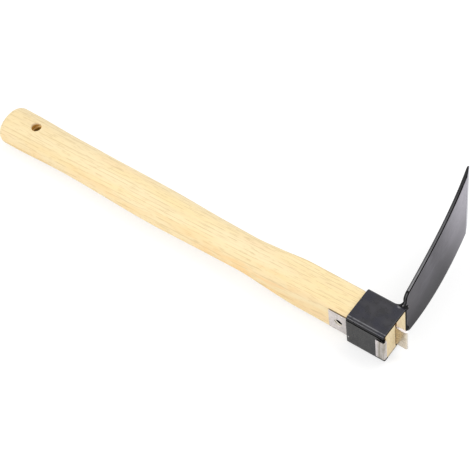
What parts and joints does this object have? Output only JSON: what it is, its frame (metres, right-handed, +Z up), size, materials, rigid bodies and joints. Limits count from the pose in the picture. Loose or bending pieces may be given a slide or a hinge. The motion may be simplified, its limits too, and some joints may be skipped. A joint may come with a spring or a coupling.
{
  "type": "hand hoe",
  "caption": "One-hand hoe with a pale wooden handle, a square black socket, a welded black blade with a bare ground edge, a retaining strap and an end wedge, lying on its side.",
  "frame": {"origin": "bottom centre of the whole hoe's box as it lies on its side on flat ground, so z = 0 is the ground", "axes": "+X runs from the butt to the head, and the handle rises 1.14 degrees along it because the head holds that end higher; +Y is the level direction in which the blade points, and the blade's own axis rises 10.5 degrees above it; +Z is up, across the blade's width"},
  "size_m": [0.441, 0.1826, 0.0945],
  "materials": {
    "handle_wood": "smooth pale wood with fine straight grain, unvarnished",
    "socket_paint": "satin black paint on folded sheet",
    "blade_paint": "satin dark grey paint, with a bare ground cutting edge",
    "weld_paint": "glossy black paint over a rough weld bead",
    "strap_zinc": "galvanised strip, dull bright",
    "wedge_steel": "bare bright steel"
  },
  "bodies": {
    "root": {"handle": "handle_wood", "socket_band": "socket_paint", "blade": "blade_paint", "weld_back": "weld_paint", "weld_front": "weld_paint", "retaining_strap": "strap_zinc", "end_wedge": "wedge_steel"}
  },
  "joints": []
}
